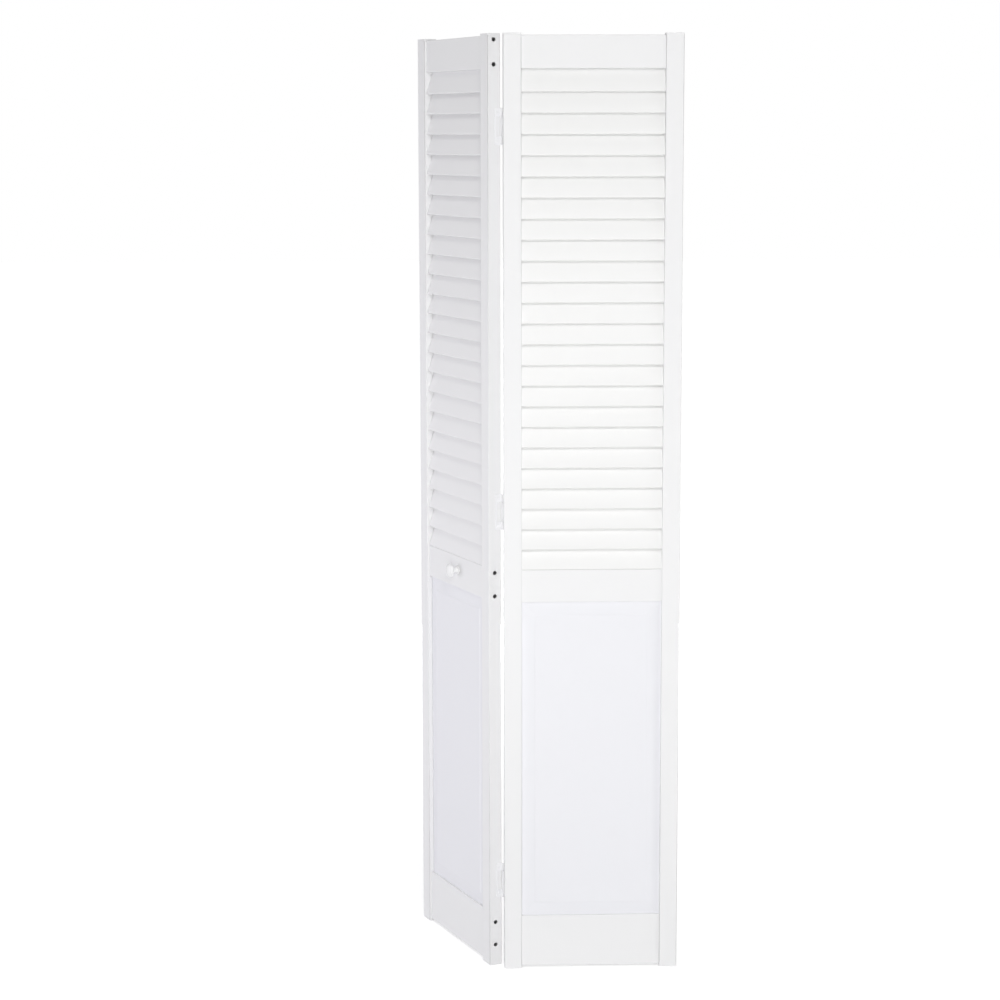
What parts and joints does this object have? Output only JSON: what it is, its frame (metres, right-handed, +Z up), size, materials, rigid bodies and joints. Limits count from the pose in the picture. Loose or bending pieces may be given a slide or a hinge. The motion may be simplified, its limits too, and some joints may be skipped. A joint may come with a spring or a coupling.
{
  "type": "bifold closet door",
  "caption": "Bifold closet door: two white hollow leaves, louvred above and panelled below, joined by three hinges, with a round knob.",
  "frame": {"origin": "mouth of the bottom pivot bore, in the bottom cap of the pivot leaf's outer stile, at floor level", "axes": "+Z up along the pivot bores; the pivot leaf runs from the origin towards -X; its show face looks to -Y; at rest the lead leaf is folded 67.6 degrees back towards +Y"},
  "size_m": [0.5482, 0.3777, 2],
  "materials": {
    "frame_white": "satin white moulded PVC",
    "slat_white": "satin white extruded PVC",
    "panel_white": "satin white moulded PVC",
    "hinge_white": "white powder coat",
    "screw_steel": "zinc plated",
    "knob_white": "glossy white"
  },
  "bodies": {
    "pivot_leaf": {"lower_hinge_inner_plate": "hinge_white", "middle_hinge_inner_plate": "hinge_white", "pivot_bottom_rail": "frame_white", "pivot_hinge_bottom_cap": "frame_white", "pivot_hinge_screws": "screw_steel", "pivot_hinge_stile": "frame_white", "pivot_hinge_top_cap": "frame_white", "pivot_lock_rail": "frame_white", "pivot_outer_bottom_cap": "frame_white", "pivot_outer_stile": "frame_white", "pivot_outer_top_cap": "frame_white", "pivot_panel": "panel_white", "pivot_rail_screws": "screw_steel", "pivot_slats_1": "slat_white", "pivot_slats_2": "slat_white", "pivot_slats_3": "slat_white", "pivot_slats_4": "slat_white", "pivot_slats_5": "slat_white", "pivot_slats_6": "slat_white", "pivot_slats_7": "slat_white", "pivot_slats_8": "slat_white", "pivot_top_rail": "frame_white", "upper_hinge_inner_plate": "hinge_white"},
    "lead_leaf": {"knob": "knob_white", "knob_screw": "screw_steel", "lead_bottom_rail": "frame_white", "lead_hinge_bottom_cap": "frame_white", "lead_hinge_screws": "screw_steel", "lead_hinge_stile": "frame_white", "lead_hinge_top_cap": "frame_white", "lead_lock_rail": "frame_white", "lead_outer_bottom_cap": "frame_white", "lead_outer_stile": "frame_white", "lead_outer_top_cap": "frame_white", "lead_panel": "panel_white", "lead_rail_screws": "screw_steel", "lead_slats_1": "slat_white", "lead_slats_2": "slat_white", "lead_slats_3": "slat_white", "lead_slats_4": "slat_white", "lead_slats_5": "slat_white", "lead_slats_6": "slat_white", "lead_slats_7": "slat_white", "lead_slats_8": "slat_white", "lead_top_rail": "frame_white", "lower_hinge_outer_plate": "hinge_white", "lower_hinge_pin": "hinge_white", "middle_hinge_outer_plate": "hinge_white", "middle_hinge_pin": "hinge_white", "upper_hinge_outer_plate": "hinge_white", "upper_hinge_pin": "hinge_white"}
  },
  "joints": [
    {"name": "fold", "type": "hinge", "parent": "pivot_leaf", "child": "lead_leaf", "pos_m": [-0.3571, 0.01715, 0], "axis": [0, 0, -1], "range_deg": [-67.6, 112.4]}
  ]
}
